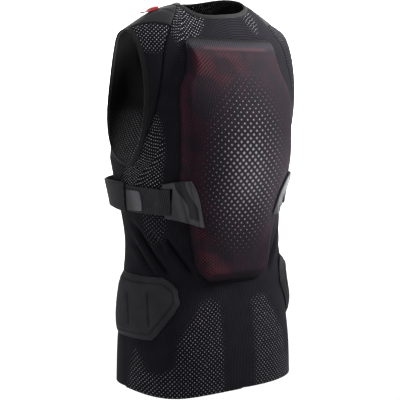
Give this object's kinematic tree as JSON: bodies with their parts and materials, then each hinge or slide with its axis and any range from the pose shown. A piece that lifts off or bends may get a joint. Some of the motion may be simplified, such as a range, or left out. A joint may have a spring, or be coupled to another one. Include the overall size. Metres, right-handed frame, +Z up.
{
  "type": "protective vest",
  "caption": "Sleeveless knitted protective vest with a padded back protector in a mesh pocket, moulded strap anchors, an elastic waist belt, hip pads and a front zip.",
  "frame": {"origin": "midway between the two shoulder points beside the neck, where the vest hangs on the shoulders", "axes": "+Z up along the wearer's spine, +Y towards the wearer's back, +X towards the wearer's left"},
  "size_m": [0.3146, 0.2785, 0.6401],
  "materials": {
    "knit": "matt knitted cloth",
    "smooth_knit": "smooth matt cloth",
    "rib": "ribbed elastic binding",
    "mesh_cover": "open mesh cloth",
    "red_foam": "soft matt foam",
    "webbing": "woven elastic webbing",
    "moulded_rubber": "satin moulded rubber",
    "pad_face": "matt moulded foam skin",
    "red_web": "woven webbing"
  },
  "bodies": {
    "root": {"back_panel": "knit", "front_zip": "webbing", "neck_band": "rib", "back_pocket": "mesh_cover", "back_foam": "red_foam", "front_panel_left": "knit", "front_panel_right": "knit", "lower_front_left": "knit", "lower_front_right": "knit", "shoulder_panel_left": "knit", "shoulder_panel_right": "knit", "yoke_left": "smooth_knit", "yoke_right": "smooth_knit", "armhole_band_left": "rib", "armhole_band_right": "rib", "strap_anchor_left": "moulded_rubber", "strap_anchor_right": "moulded_rubber", "waist_strap_left": "webbing", "waist_strap_right": "webbing", "strap_tab_left": "moulded_rubber", "strap_tab_right": "moulded_rubber", "belt_front_left": "webbing", "belt_front_right": "webbing", "hip_pad_left": "pad_face", "hip_pad_right": "pad_face", "shoulder_tab_left": "red_web", "shoulder_tab_right": "red_web"}
  },
  "joints": []
}
